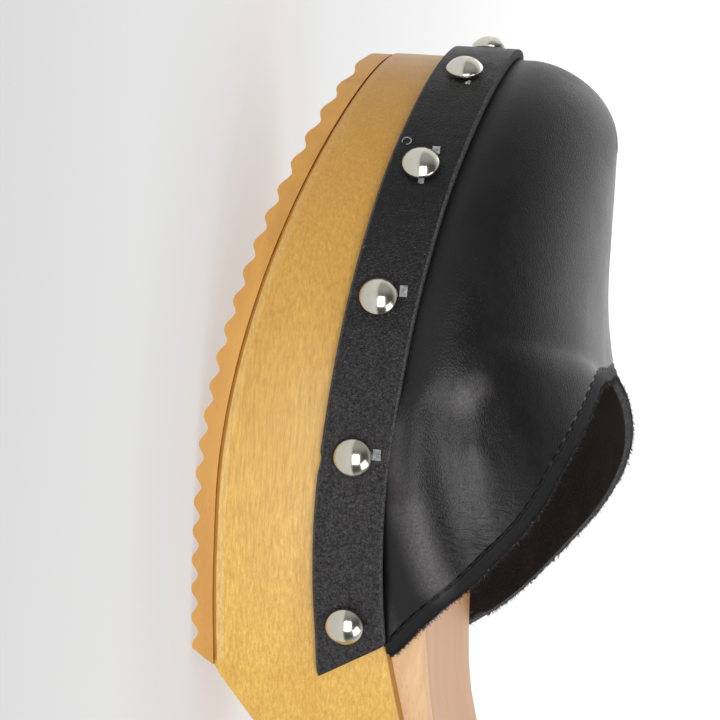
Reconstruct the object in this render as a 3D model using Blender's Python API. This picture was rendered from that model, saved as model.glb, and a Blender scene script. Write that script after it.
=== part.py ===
"""A left wooden-soled clog with an open back.

The foot sits on one carved wooden sole with a thick forefoot, an arched waist and a high heel.
A toothed tread lies under the forefoot and a flat one under the heel.
A hollow leather vamp stands in the rabbet that runs round the sole's top edge, and a leather strip
held by a row of domed nails covers the joint.

Places are given in millimetres: back is the distance behind the toe tip, side is +1 on the wearer's
outer side and -1 on the inner side, and z is the height above the floor.
In the scene +X points to the toe, +Y to the outer side and +Z up, in metres.
"""

import math

import bmesh
import bpy
import numpy as np
from mathutils import Matrix, Vector

MM = 0.001
OUTER = 1
INNER = -1

LENGTH = 250.0
REST_BACK = 219.0
GAP = 0.3

# Sole: forefoot rocker, treads, rabbet and lip
TOE_SPRING = 22.8
ROCKER_START = 96.0
ROCKER_POWER = 1.74
FLAT_END = 110.0
WAIST_LIFT = 0.6
TREAD_END = 132.0
TREAD_THICKNESS = 4.5
TREAD_INSET = 0.4
HEEL_TREAD = 5.0
HEEL_BREAST = 189.0
TOOTH_PITCH = 6.1
TOOTH_DEPTH = 1.4
FIRST_TOOTH = 3.4
TOOTH_COUNT = 22
RABBET_WIDTH = 3.0
EDGE_ROUND = 1.5
FOOT_CHAMFER = 0.8
LIP_ROUND = 2.6
HEEL_TAPER = 4.2
TAPER_START = 150.0
TAPER_END = 200.0
SOLE_STATIONS = 46
FOOTBED_COLUMNS = 8
ROUND_SHARE = 0.3
HEEL_TREAD_START = 190.0
HEEL_TREAD_BEND = 236.0
HEEL_TREAD_END = (240.0, 243.5, 246.2, 248.0, 249.2)
HEEL_TREAD_EDGE = 0.6
TREAD_TIP = (0.02, 0.12, 0.4, 0.9, 1.6)
CUTTER_REACH = 70.0
CUTTER_DEPTH = -20.0

# Upper
LEATHER = 2.0
UPPER_INSET = 0.3
THROAT_BASE = 60.0
RIDGE_STATIONS = 17
THROAT_STATIONS = 15
THROAT_CROWDING = 1.3
ARC_STEPS = 10

# Strip and nails
STRIP_WIDTH = 14.4
STRIP_THICKNESS = 2.0
STRIP_STATIONS = 84
STRIP_CHAMFER = 0.35
NAIL_RADIUS = 4.0
NAIL_HEIGHT = 2.9
NAIL_SIDES = 18
NAIL_STEPS = 5

# Middle of each nail
# distance from the toe tip round the rim, the inner side negative, and depth below the strip's top
NAIL_PLACES = (
    (153.7, 8.0),
    (118.9, 7.5),
    (86.5, 8.2),
    (56.4, 7.6),
    (26.2, 7.6),
    (-4.5, 7.6),
    (-45.0, 7.5),
    (-81.0, 7.5),
    (-117.0, 7.5),
    (-152.0, 7.5),
)

# Corners of one tooth
# offset from its tip in pitches, height above the tip in tooth depths
TOOTH_SHAPE = (
    (-0.5, 1.0),
    (-0.36, 0.8),
    (-0.2, 0.25),
    (-0.08, 0.0),
    (0.08, 0.0),
    (0.2, 0.25),
    (0.36, 0.8),
)

# Outline of the sole from above
# back, y of the outer side, y of the inner side
TIP = (0.0, -15.0)
HEEL_END = (LENGTH, 1.3)
OUTLINE = (
    (2.3, -0.3, -27.0),
    (8.6, 13.3, -35.6),
    (18.2, 24.8, -41.0),
    (29.9, 34.1, -44.8),
    (43.1, 41.1, -47.0),
    (57.3, 45.9, -48.2),
    (72.1, 48.5, -48.0),
    (87.1, 49.0, -46.3),
    (102.0, 47.8, -43.4),
    (116.8, 45.2, -39.8),
    (131.3, 41.5, -35.9),
    (145.6, 37.3, -32.4),
    (160.0, 34.3, -30.0),
    (175.0, 32.8, -29.0),
    (190.0, 32.8, -29.2),
    (205.0, 33.5, -30.0),
    (220.0, 33.2, -30.0),
    (233.0, 29.4, -26.6),
    (243.0, 20.9, -18.4),
    (248.4, 10.6, -8.0),
)

# Heights of the sole's top edge
# back, rabbet ledge, outer lip, inner lip, depth of the footbed's dish
TOP_EDGE = (
    (0.0, 54.5, 59.5, 59.5, 1.0),
    (8.6, 52.0, 57.6, 57.6, 1.2),
    (18.2, 49.4, 55.4, 55.6, 1.5),
    (29.9, 46.5, 53.0, 53.4, 1.8),
    (43.1, 44.0, 51.0, 51.4, 2.0),
    (57.3, 41.9, 49.3, 49.8, 2.0),
    (72.1, 40.5, 48.3, 48.9, 2.0),
    (87.1, 39.8, 47.9, 48.6, 1.8),
    (102.0, 39.8, 47.9, 49.2, 1.5),
    (116.8, 40.4, 48.3, 50.0, 1.2),
    (126.0, 41.4, 48.7, 50.5, 1.2),
    (133.0, 42.9, 49.4, 51.0, 1.2),
    (141.0, 44.7, 50.4, 52.0, 1.3),
    (150.0, 47.0, 52.4, 54.4, 1.5),
    (160.0, 49.8, 55.2, 57.0, 1.8),
    (175.0, 53.8, 59.3, 60.6, 2.4),
    (190.0, 57.3, 62.8, 63.6, 3.0),
    (205.0, 59.9, 65.3, 65.7, 3.4),
    (220.0, 61.4, 66.7, 66.9, 3.4),
    (235.0, 62.2, 67.4, 67.5, 2.6),
    (250.0, 62.5, 67.7, 67.7, 1.5),
)

# Underside of the waist, from the end of the tread to the front of the heel
# back, z
ARCH = (
    (131.0, 4.0),
    (132.3, 5.4),
    (134.4, 6.8),
    (137.1, 8.9),
    (143.2, 13.6),
    (150.0, 19.0),
    (157.0, 24.6),
    (163.5, 29.4),
    (169.0, 33.0),
    (173.5, 35.0),
    (177.5, 35.6),
    (181.2, 34.2),
    (184.2, 31.0),
    (186.2, 26.4),
    (187.4, 20.0),
    (188.3, 12.0),
    (188.8, 7.0),
)

# Top line of the closed part of the vamp
# back at the sole, back on the ridge, y, z
RIDGE = (
    (0.0, 18.5, -6.0, 78.8),
    (10.0, 24.5, -6.0, 78.8),
    (20.0, 32.5, -6.0, 78.8),
    (32.0, 43.0, -6.0, 78.8),
    (46.0, 55.0, -6.5, 79.3),
    (60.0, 66.0, -7.0, 81.4),
)

# Cut edge of the throat on each side
# back at the sole, back at the edge, y, z, degrees that the leather has turned from upright
OUTER_THROAT = (
    (60.0, 66.0, -7.0, 81.4, 90.0),
    (63.0, 66.0, 5.0, 81.5, 84.0),
    (67.0, 67.2, 16.6, 80.9, 72.0),
    (72.0, 73.4, 25.7, 79.7, 60.0),
    (77.0, 79.4, 32.4, 77.8, 50.0),
    (83.0, 86.3, 38.0, 74.9, 42.0),
    (89.5, 92.9, 41.3, 72.2, 36.0),
    (96.0, 98.7, 43.6, 68.9, 32.0),
    (103.0, 104.6, 45.2, 63.9, 28.0),
    (110.5, 111.5, 46.0, 57.9, 25.0),
    (118.0, 118.4, 45.6, 50.2, 20.0),
    (126.3, 126.9, 43.2, 42.9, 15.0),
)
INNER_THROAT = (
    (60.0, 66.0, -7.0, 81.4, 90.0),
    (63.0, 67.2, -11.0, 82.1, 86.0),
    (67.0, 70.2, -14.4, 83.2, 79.0),
    (72.0, 74.9, -18.8, 84.8, 71.0),
    (77.5, 80.7, -24.4, 85.5, 61.0),
    (83.0, 86.4, -29.2, 84.9, 52.0),
    (89.0, 92.6, -32.8, 82.7, 45.0),
    (98.0, 100.6, -36.4, 78.1, 38.0),
    (107.5, 109.4, -38.5, 71.0, 32.0),
    (117.5, 118.6, -38.8, 63.0, 25.0),
    (124.0, 124.2, -37.9, 57.2, 20.0),
    (129.0, 128.8, -36.6, 50.8, 17.0),
    (132.0, 132.3, -35.4, 44.4, 12.0),
)

# How far the strip's upper edge stands above the rabbet ledge
# back, rise
STRIP_RISE = (
    (0.0, 1.2),
    (75.0, 1.0),
    (100.0, 0.0),
    (117.0, 0.0),
    (125.0, 0.0),
    (130.0, -0.6),
    (140.0, -0.7),
)

# How far the vamp bulges out above the strip
# back, bulge
BULGE = (
    (0.0, 0.8),
    (20.0, 1.6),
    (50.0, 2.6),
    (90.0, 2.8),
    (120.0, 1.1),
    (140.0, 0.7),
)
BULGE_POWER = 0.6

# Fine steps for reading curves
OUTLINE_STEPS = 1400
ROCKER_STEPS = 1310
SLOPE_STEP = 2.0

# Slanted ends of the strip: back at the lower edge, back at the upper edge
OUTER_END = (131.8, 124.0)
INNER_END = (140.0, 132.5)


def through(stations, values, at):
    """Value of the smooth curve through the given points."""
    stations = np.asarray(stations, float)
    values = np.asarray(values, float)
    slopes = np.gradient(values, stations)
    i = np.clip(np.searchsorted(stations, at) - 1, 0, len(stations) - 2)
    step = stations[i + 1] - stations[i]
    t = (np.clip(at, stations[0], stations[-1]) - stations[i]) / step
    start = (1 + 2 * t) * (1 - t) ** 2 * values[i] + t * (1 - t) ** 2 * step * slopes[i]
    end = t * t * (3 - 2 * t) * values[i + 1] - t * t * (1 - t) * step * slopes[i + 1]
    return start + end


def column(table, number, back):
    """A table's column at a place between its rows."""
    rows = np.array(table)
    return through(rows[:, 0], rows[:, number], back)


def closed_outline():
    """The sole's outline as a dense closed line: back, y and the arc from the toe tip."""
    outer = [(back, outer_y) for back, outer_y, _ in OUTLINE]
    inner = [(back, inner_y) for back, _, inner_y in reversed(OUTLINE)]
    loop = np.array([TIP, *outer, HEEL_END, *inner])
    wrap = 3
    loop = np.concatenate([loop[-wrap:], loop, loop[: wrap + 1]])
    knots = np.concatenate([[0], np.cumsum(np.sqrt(np.hypot(*np.diff(loop, axis=0).T)))])
    tip_knot = knots[wrap]
    end_knot = knots[-wrap - 1]
    at = np.linspace(tip_knot, end_knot, OUTLINE_STEPS + 1)
    back = through(knots, loop[:, 0], at)
    y = through(knots, loop[:, 1], at)
    arc = np.concatenate([[0], np.cumsum(np.hypot(np.diff(back), np.diff(y)))])
    return back, y, arc


RIM_BACK, RIM_Y, RIM_ARC = closed_outline()
HEEL_INDEX = int(np.argmax(RIM_BACK))


def rim(arc, out=0.0):
    """Back and y of the outline, moved outwards, at an arc that is positive on the outer side."""
    around = arc % RIM_ARC[-1]
    step = 0.4
    ahead = (arc + step) % RIM_ARC[-1]
    behind = (arc - step) % RIM_ARC[-1]
    run_back = np.interp(ahead, RIM_ARC, RIM_BACK) - np.interp(behind, RIM_ARC, RIM_BACK)
    run_y = np.interp(ahead, RIM_ARC, RIM_Y) - np.interp(behind, RIM_ARC, RIM_Y)
    run = math.hypot(run_back, run_y)
    back = np.interp(around, RIM_ARC, RIM_BACK) - out * run_y / run
    y = np.interp(around, RIM_ARC, RIM_Y) + out * run_back / run
    return float(back), float(y)


def arc_at(side, back):
    """Arc of the outline's point that lies this far behind the toe tip on one side."""
    outer_back = RIM_BACK[: HEEL_INDEX + 1]
    inner_back = RIM_BACK[HEEL_INDEX:][::-1]
    if side == OUTER:
        return float(np.interp(back, outer_back, RIM_ARC[: HEEL_INDEX + 1]))
    return float(np.interp(back, inner_back, RIM_ARC[HEEL_INDEX:][::-1] - RIM_ARC[-1]))


def ledge(back):
    return column(TOP_EDGE, 1, back)


def strip_top(back):
    return ledge(back) + column(STRIP_RISE, 1, back)


def lip(side, back):
    return column(TOP_EDGE, 2 if side == OUTER else 3, back)


def rocker(back):
    """Height of the tread's tooth tips above the floor."""
    if back < ROCKER_START:
        return TOE_SPRING * ((ROCKER_START - back) / ROCKER_START) ** ROCKER_POWER
    if back > FLAT_END:
        return WAIST_LIFT * ((back - FLAT_END) / (TREAD_END - FLAT_END)) ** 2
    return 0.0


def wood_bottom(back):
    """Height of the wood's underside, before the arch is cut away."""
    if back > ARCH[-1][0] - RABBET_WIDTH:
        return HEEL_TREAD + GAP
    step = 0.5
    slope = (rocker(back + step) - rocker(back - step)) / (2 * step)
    return rocker(back) + TREAD_THICKNESS * math.hypot(1, slope)


def taper(back):
    """How far the heel's foot is drawn in from the outline above it."""
    share = min(max((back - TAPER_START) / (TAPER_END - TAPER_START), 0), 1)
    return HEEL_TAPER * share * share * (3 - 2 * share)


def stretch(arc):
    """How much taller the strip stands where the ledge slopes, so that its width stays the same."""
    rise = ledge(rim(arc + SLOPE_STEP)[0]) - ledge(rim(arc - SLOPE_STEP)[0])
    return math.hypot(1, rise / (2 * SLOPE_STEP))


def place(back, y, z):
    """A point of the shoe in metres."""
    return Vector(((REST_BACK - back) * MM, y * MM, z * MM))


def make_object(name, bm, material):
    """Finish a mesh: faces out, smooth where it is round."""
    bmesh.ops.remove_doubles(bm, verts=bm.verts, dist=0.00002)
    bmesh.ops.recalc_face_normals(bm, faces=bm.faces)
    mesh = bpy.data.meshes.new(name)
    bm.to_mesh(mesh)
    bm.free()
    mesh.materials.append(material)
    mesh.shade_smooth()
    mesh.set_sharp_from_angle(angle=math.radians(35))
    obj = bpy.data.objects.new(name, mesh)
    bpy.context.scene.collection.objects.link(obj)
    return obj


def make_material(name, colour, roughness, metallic=0.0):
    material = bpy.data.materials.new(name)
    material.use_nodes = True
    shader = material.node_tree.nodes["Principled BSDF"]
    shader.inputs["Base Color"].default_value = (*colour, 1)
    shader.inputs["Roughness"].default_value = roughness
    shader.inputs["Metallic"].default_value = metallic
    return material


def skin(bm, lines, closed=False):
    """Faces between neighbouring lines of vertices; a closed line's last vertex joins its first."""
    for one, two in zip(lines, lines[1:]):
        count = len(one) if closed else len(one) - 1
        for i in range(count):
            j = (i + 1) % len(one)
            corners = list(dict.fromkeys((one[i], one[j], two[j], two[i])))
            if len(corners) > 2:
                bm.faces.new(corners)


def sole_stations():
    """Distances behind the toe tip of the sole's cross lines, evenly spaced along the outer side."""
    heel_arc = arc_at(OUTER, LENGTH)
    arcs = np.linspace(0, heel_arc, SOLE_STATIONS + 1)[1:-1]
    return [rim(arc)[0] for arc in arcs]


def sole_ring(bm, stations, inset, height):
    """One closed ring round the sole: the tip, the outer side, the heel end and the inner side."""
    tip_arc = 0.0
    heel_arc = arc_at(OUTER, LENGTH)
    spots = [(tip_arc, OUTER)]
    spots += [(arc_at(OUTER, back), OUTER) for back in stations]
    spots.append((heel_arc, OUTER))
    spots += [(arc_at(INNER, back), INNER) for back in reversed(stations)]
    ring = []
    for arc, side in spots:
        back = rim(arc)[0]
        ring.append(bm.verts.new(place(*rim(arc, -inset(back)), height(side, back))))
    return ring


def across(bm, ring, columns, dish):
    """Close a ring with cross lines from the outer to the inner side, sunk by dish in the middle."""
    half = len(ring) // 2
    lines = []
    for i in range(1, half):
        outer = ring[i]
        inner = ring[-i]
        line = [outer]
        for k in range(1, columns):
            share = k / columns
            spot = outer.co.lerp(inner.co, share)
            back = REST_BACK - spot.x / MM
            spot.z -= dish(back) * MM * (1 - (2 * share - 1) ** 2)
            line.append(bm.verts.new(spot))
        line.append(inner)
        lines.append(line)
    skin(bm, lines)
    for end, line in ((ring[0], lines[0]), (ring[half], lines[-1])):
        for one, two in zip(line, line[1:]):
            bm.faces.new((end, one, two))


def arch_cutter(material):
    """The space under the waist, as a block across the shoe."""
    profile = [(ARCH[0][0], CUTTER_DEPTH), *ARCH, (HEEL_BREAST, CUTTER_DEPTH)]
    bm = bmesh.new()
    face = bm.faces.new([bm.verts.new(place(back, -CUTTER_REACH, z)) for back, z in profile])
    swept = bmesh.ops.extrude_face_region(bm, geom=[face])
    moved = [v for v in swept["geom"] if isinstance(v, bmesh.types.BMVert)]
    bmesh.ops.translate(bm, verts=moved, vec=Vector((0, 2 * CUTTER_REACH * MM, 0)))
    cutter = make_object("arch_cutter", bm, material)
    cutter.hide_render = True
    cutter.display_type = "WIRE"
    return cutter


def wooden_sole(material):
    """Carved sole with rabbet, lip and dished footbed; the arch is cut out of it."""
    bm = bmesh.new()
    stations = sole_stations()
    edge_share = ROUND_SHARE * EDGE_ROUND
    lip_share = ROUND_SHARE * LIP_ROUND
    # Inset from the outline and height of each ring, from the underside up to the footbed
    levels = (
        (lambda back: taper(back) + FOOT_CHAMFER, lambda side, back: wood_bottom(back)),
        (taper, lambda side, back: wood_bottom(back) + FOOT_CHAMFER),
        (lambda back: 0, lambda side, back: ledge(back) - EDGE_ROUND),
        (lambda back: edge_share, lambda side, back: ledge(back) - edge_share),
        (lambda back: EDGE_ROUND, lambda side, back: ledge(back)),
        (lambda back: RABBET_WIDTH, lambda side, back: ledge(back)),
        (lambda back: RABBET_WIDTH, lambda side, back: lip(side, back) - LIP_ROUND),
        (lambda back: RABBET_WIDTH + lip_share, lambda side, back: lip(side, back) - lip_share),
        (lambda back: RABBET_WIDTH + LIP_ROUND, lip),
    )
    rings = [sole_ring(bm, stations, inset, height) for inset, height in levels]
    skin(bm, rings, closed=True)
    across(bm, rings[0], 1, lambda back: 0)
    across(bm, rings[-1], FOOTBED_COLUMNS, lambda back: column(TOP_EDGE, 4, back))
    sole = make_object("wooden_sole", bm, material)
    cut = sole.modifiers.new("arch", "BOOLEAN")
    cut.operation = "DIFFERENCE"
    cut.solver = "EXACT"
    cut.object = arch_cutter(material)
    return sole


def tooth_line():
    """Back and depth of the corners of the tread's teeth, laid out along the rocker."""
    backs = np.linspace(0, TREAD_END, ROCKER_STEPS + 1)
    heights = np.array([rocker(back) for back in backs])
    arcs = np.concatenate([[0], np.cumsum(np.hypot(np.diff(backs), np.diff(heights)))])
    line = []
    for tooth in range(TOOTH_COUNT):
        for offset, share in TOOTH_SHAPE:
            arc = FIRST_TOOTH + (tooth + offset) * TOOTH_PITCH
            line.append((float(np.interp(arc, arcs, backs)), share * TOOTH_DEPTH))
    # The last tooth ends at its tip, where the slope up to the wood begins
    return line[:-2]


def tread_section(bm, back, low, high, skive):
    """Four corners across the shoe; skive moves the upper ones back."""
    corners = []
    for side, z in ((OUTER, high), (OUTER, low), (INNER, low), (INNER, high)):
        shift = skive * (z - low) / (high - low)
        spot_back, spot_y = rim(arc_at(side, back + shift), -TREAD_INSET)
        corners.append(bm.verts.new(place(spot_back, spot_y, z)))
    return corners


def forefoot_tread(material):
    """Toothed tread under the forefoot, ending in a skived slope under the waist."""
    bm = bmesh.new()
    line = [(back, TOOTH_SHAPE[2][1] * TOOTH_DEPTH) for back in TREAD_TIP]
    line += [spot for spot in tooth_line() if spot[0] > TREAD_TIP[-1] + GAP]
    last = line[-1][0]
    sections = []
    for back, depth in line:
        skive = TREAD_END - last if back == last else 0.0
        low = rocker(back) + depth
        high = wood_bottom(back) - GAP
        sections.append(tread_section(bm, back, low, high, skive))
    skin(bm, sections, closed=True)
    bm.faces.new(sections[0])
    bm.faces.new(sections[-1])
    return make_object("forefoot_tread", bm, material)


def heel_tread(material):
    """Flat tread under the heel."""
    bm = bmesh.new()
    heel_arc = arc_at(OUTER, LENGTH)
    backs = [*np.linspace(HEEL_TREAD_START, HEEL_TREAD_BEND, 12), *HEEL_TREAD_END]
    foot = HEEL_TAPER + FOOT_CHAMFER
    levels = ((foot + HEEL_TREAD_EDGE, 0.0), (foot, HEEL_TREAD_EDGE), (foot, HEEL_TREAD))
    rings = []
    for inset, z in levels:
        outer = [rim(arc_at(OUTER, back), -inset) for back in backs]
        inner = [rim(arc_at(INNER, back), -inset) for back in reversed(backs)]
        spots = [*outer, rim(heel_arc, -inset), *inner]
        rings.append([bm.verts.new(place(*spot, z)) for spot in spots])
    skin(bm, rings, closed=True)
    bm.faces.new(rings[0])
    bm.faces.new(rings[-1])
    return make_object("heel_tread", bm, material)


def vamp_line(bm, side, base_back, crown):
    """One line of the vamp from the rabbet up to its crown: back, y, z and the turn of the leather."""
    arc = arc_at(side, base_back)
    foot_back, foot_y = rim(arc, -UPPER_INSET)
    foot_z = ledge(base_back) + GAP
    crown_back, crown_y, crown_z, turn = crown
    line = []
    for k in range(ARC_STEPS + 1):
        angle = math.radians(turn) * k / ARC_STEPS
        lean = (1 - math.cos(angle)) / (1 - math.cos(math.radians(turn)))
        rise = math.sin(angle) / math.sin(math.radians(turn))
        out = column(BULGE, 1, base_back) * math.sin(math.pi * rise**BULGE_POWER)
        out_back, out_y = rim(arc, out)
        edge_back, edge_y = rim(arc)
        back = foot_back + (crown_back - foot_back) * lean + out_back - edge_back
        y = foot_y + (crown_y - foot_y) * lean + out_y - edge_y
        line.append(bm.verts.new(place(back, y, foot_z + (crown_z - foot_z) * rise)))
    return line


def throat_bases(table):
    """Places along the sole of the lines that end at the throat, closer together near its front."""
    reach = table[-1][0] - THROAT_BASE
    shares = [k / THROAT_STATIONS for k in range(1, THROAT_STATIONS + 1)]
    return [THROAT_BASE + reach * share**THROAT_CROWDING for share in shares]


def upper(material):
    """Hollow leather vamp, open behind, where the throat is cut, and underneath."""
    bm = bmesh.new()
    reach = arc_at(OUTER, THROAT_BASE)
    ridge_bases = [rim(reach * k / RIDGE_STATIONS)[0] for k in range(1, RIDGE_STATIONS + 1)]

    def ridge_crown(base):
        return (*(float(column(RIDGE, number, base)) for number in (1, 2, 3)), 90.0)

    sides = []
    for side, table in ((INNER, INNER_THROAT), (OUTER, OUTER_THROAT)):
        lines = [vamp_line(bm, side, base, ridge_crown(base)) for base in ridge_bases]
        for base in throat_bases(table):
            crown = [float(column(table, number, base)) for number in (1, 2, 3, 4)]
            lines.append(vamp_line(bm, side, base, crown))
        sides.append(lines)
    tip_line = vamp_line(bm, OUTER, 0.0, ridge_crown(0.0))
    skin(bm, [*reversed(sides[0]), tip_line, *sides[1]])
    vamp = make_object("upper", bm, material)
    wall = vamp.modifiers.new("wall", "SOLIDIFY")
    wall.thickness = LEATHER * MM
    wall.offset = -1
    wall.use_even_offset = True
    return vamp


def strip_point(share, level, out):
    """A point of the strip: share along it from the inner end, level up from its lower edge."""
    starts = [arc_at(INNER, back) for back in INNER_END]
    ends = [arc_at(OUTER, back) for back in OUTER_END]
    first = starts[0] + (starts[1] - starts[0]) * level
    last = ends[0] + (ends[1] - ends[0]) * level
    arc = first + (last - first) * share
    back, y = rim(arc, out)
    top = strip_top(rim(arc)[0])
    return place(back, y, top - (1 - level) * STRIP_WIDTH * stretch(arc))


def strip(material):
    """Leather strip round the side of the sole, with slanted ends behind."""
    bm = bmesh.new()
    edge = STRIP_CHAMFER / STRIP_WIDTH
    near = GAP
    far = GAP + STRIP_THICKNESS
    loop = (
        (0.0, near),
        (0.0, far - STRIP_CHAMFER),
        (edge, far),
        (0.5, far),
        (1 - edge, far),
        (1.0, far - STRIP_CHAMFER),
        (1.0, near),
        (0.5, near),
    )
    sections = []
    for i in range(STRIP_STATIONS + 1):
        share = i / STRIP_STATIONS
        sections.append([bm.verts.new(strip_point(share, level, out)) for level, out in loop])
    skin(bm, sections, closed=True)
    bm.faces.new(sections[0])
    bm.faces.new(sections[-1])
    return make_object("nailed_strip", bm, material)


def nail_mesh(material):
    """Domed nail head with a flat underside, lying on its back on +Z."""
    bm = bmesh.new()
    profile = [bm.verts.new((0, 0, 0))]
    for k in range(NAIL_STEPS + 1):
        angle = math.pi / 2 * k / NAIL_STEPS
        out = NAIL_RADIUS * MM * math.cos(angle)
        profile.append(bm.verts.new((out, 0, NAIL_HEIGHT * MM * math.sin(angle))))
    edges = [bm.edges.new(pair) for pair in zip(profile, profile[1:])]
    bmesh.ops.spin(
        bm,
        geom=profile + edges,
        cent=(0, 0, 0),
        axis=(0, 0, 1),
        angle=2 * math.pi,
        steps=NAIL_SIDES,
        use_merge=True,
    )
    bmesh.ops.remove_doubles(bm, verts=bm.verts, dist=0.00001)
    bmesh.ops.recalc_face_normals(bm, faces=bm.faces)
    mesh = bpy.data.meshes.new("nail_head")
    bm.to_mesh(mesh)
    bm.free()
    mesh.materials.append(material)
    mesh.shade_smooth()
    mesh.set_sharp_from_angle(angle=math.radians(40))
    return mesh


def nails(material):
    """Row of nail heads along the middle of the strip, numbered from the outer rear end."""
    mesh = nail_mesh(material)
    out = 2 * GAP + STRIP_THICKNESS
    for number, (arc, drop) in enumerate(NAIL_PLACES, 1):
        back, y = rim(arc, out)
        edge_back, edge_y = rim(arc)
        z = strip_top(edge_back) - drop * stretch(arc)
        normal = Vector((edge_back - back, y - edge_y, 0))
        turn = normal.to_track_quat("Z", "X").to_matrix().to_4x4()
        head = bpy.data.objects.new(f"nail_{number:02d}", mesh)
        head.matrix_world = Matrix.Translation(place(back, y, z)) @ turn
        bpy.context.scene.collection.objects.link(head)


def main():
    for obj in list(bpy.data.objects):
        bpy.data.objects.remove(obj)
    wood = make_material("lacquered_wood", (0.62, 0.36, 0.13), 0.4)
    tread = make_material("tan_rubber", (0.58, 0.32, 0.11), 0.55)
    leather = make_material("black_leather", (0.02, 0.02, 0.022), 0.45)
    strip_leather = make_material("black_strip_leather", (0.025, 0.025, 0.027), 0.6)
    nickel = make_material("polished_nickel", (0.72, 0.7, 0.66), 0.15, 1.0)
    wooden_sole(wood)
    forefoot_tread(tread)
    heel_tread(tread)
    upper(leather)
    strip(strip_leather)
    nails(nickel)


main()
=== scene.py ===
"""Finish of a left wooden-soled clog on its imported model.

The frame is the model's: +X to the toe, +Y to the outer side, +Z up, in metres.
Places in the tables are in millimetres, and back is the distance behind the toe tip.
"""

import math
import random

import bmesh
import bpy
from bpy.props import FloatProperty, FloatVectorProperty, IntProperty, PointerProperty
from bpy.types import Operator, Panel, PropertyGroup
from mathutils import Matrix, Vector
from mathutils.bvhtree import BVHTree
from mathutils.geometry import intersect_point_line
from mathutils.kdtree import KDTree


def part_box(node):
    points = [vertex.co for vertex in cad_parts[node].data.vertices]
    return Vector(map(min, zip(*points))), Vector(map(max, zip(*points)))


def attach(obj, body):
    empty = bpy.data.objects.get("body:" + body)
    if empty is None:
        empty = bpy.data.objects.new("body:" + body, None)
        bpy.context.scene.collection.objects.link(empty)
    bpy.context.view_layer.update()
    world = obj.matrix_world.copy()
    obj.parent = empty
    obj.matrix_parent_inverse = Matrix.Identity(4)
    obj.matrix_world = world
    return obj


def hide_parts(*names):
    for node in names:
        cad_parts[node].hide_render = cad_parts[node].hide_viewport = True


bl_info = {
    "name": "Wooden-soled clog",
    "version": (1, 0, 0),
    "blender": (4, 5, 0),
    "location": "View3D > Sidebar > Clog",
    "description": "Finishes the packed model of a wooden-soled clog",
    "category": "Object",
}

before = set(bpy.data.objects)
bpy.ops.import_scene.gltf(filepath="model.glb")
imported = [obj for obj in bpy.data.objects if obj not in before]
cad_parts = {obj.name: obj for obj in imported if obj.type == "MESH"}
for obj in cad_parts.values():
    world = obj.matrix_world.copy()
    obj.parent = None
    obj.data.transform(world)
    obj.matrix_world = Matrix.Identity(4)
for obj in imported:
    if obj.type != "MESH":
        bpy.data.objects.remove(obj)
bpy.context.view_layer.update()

MM = 0.001
# Points closer than this are one, in metres
MERGE = 0.00001
# Place of the frame's origin behind the toe tip
REST_BACK = 219.0
NAILS = tuple(f"nail_{number:02d}" for number in range(1, 11))

# Sole: the gap that the treads close, the band above the toothed tread that is painted lighter as a
# highlight, the tread's rear end behind the tip, how far from the ledge a face still lies on it, and how far
# edges are rounded
GLUE = 0.28
HIGHLIGHT_BAND = 1.5
TREAD_REAR = 131.0
ON_LEDGE = 0.4
WOOD_ROUNDING = 0.35
TREAD_ROUNDING = 0.2

# Vertical parts of the normals of the sole's faces
STEEP = 0.4
LEVEL = 0.9
FOOTBED_LEVEL = 0.93
CHAMFER = (-0.9, -0.45)

# Vamp: how far its foot is pushed out and down, and up to what height
MARGIN_OUT = 0.45
MARGIN_DOWN = 0.6
MARGIN_REACH = 3.0
# Middle of the toe's round, behind the tip
TOE_ROUND = 49.0
# How far the top of the throat is drawn back, and round what reach
THROAT_BACK = 3.2
THROAT_REACH = 24.0
# Round what reach of it the wall is smoothed, how far from the cut edge, and how often
SMOOTH_REACH = 26.0
SMOOTH_GAP = 3.5
SMOOTH_ROUNDS = 14
# Middle of the fine wrinkles as back, y and z, and their reach
WRINKLES = (99.0, 47.5, 59.0)
WRINKLE_REACH = 16.0

# Fibres: their places along the edge, lengths, half widths, and the share that is twice as long
FUZZ_PITCH = 0.25
FIBRE_LENGTHS = (0.3, 0.9)
FIBRE_WIDTHS = (0.04, 0.08)
LONG_FIBRES = 0.08

# Dents in the strip: round each nail, and the ring beside the second one
# depth, radius, half width
DENT = (0.4, 3.5, 3.0)
RING = (0.35, 7.0, 1.6)
DENT_REACH = 9.0

# Nail heads: steps of the dome, steps round it, and the rim's share of the height
DOME_STEPS = 14
TURN_STEPS = 48
RIM_SHARE = 0.24

# Height of the rabbet's floor round the sole
# back, z
LEDGE = (
    (0.0, 54.5),
    (8.6, 52.0),
    (18.2, 49.4),
    (29.9, 46.5),
    (43.1, 44.0),
    (57.3, 41.9),
    (72.1, 40.5),
    (87.1, 39.8),
    (102.0, 39.8),
    (116.8, 40.4),
    (126.0, 41.4),
    (133.0, 42.9),
    (141.0, 44.7),
    (150.0, 47.0),
    (160.0, 49.8),
    (175.0, 53.8),
    (190.0, 57.3),
    (205.0, 59.9),
    (220.0, 61.4),
    (235.0, 62.2),
    (250.0, 62.5),
)

# Soft ridges and troughs of the vamp
# half width, height, then back, y and z of the points along it
RIDGE = ((78.0, 48.8, 38.8), (88.0, 50.0, 41.0), (96.0, 50.2, 43.6), (105.0, 48.9, 47.0), (112.0, 46.8, 50.5))
FOLDS = (
    (10.0, 1.5, RIDGE),
    (7.0, -1.0, ((75.5, 49.8, 50.8), (85.0, 50.5, 51.6), (95.0, 49.6, 53.8), (104.0, 47.5, 56.8))),
    (3.5, 0.3, ((83.0, 48.8, 57.0), (86.0, 48.0, 60.0))),
)
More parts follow.
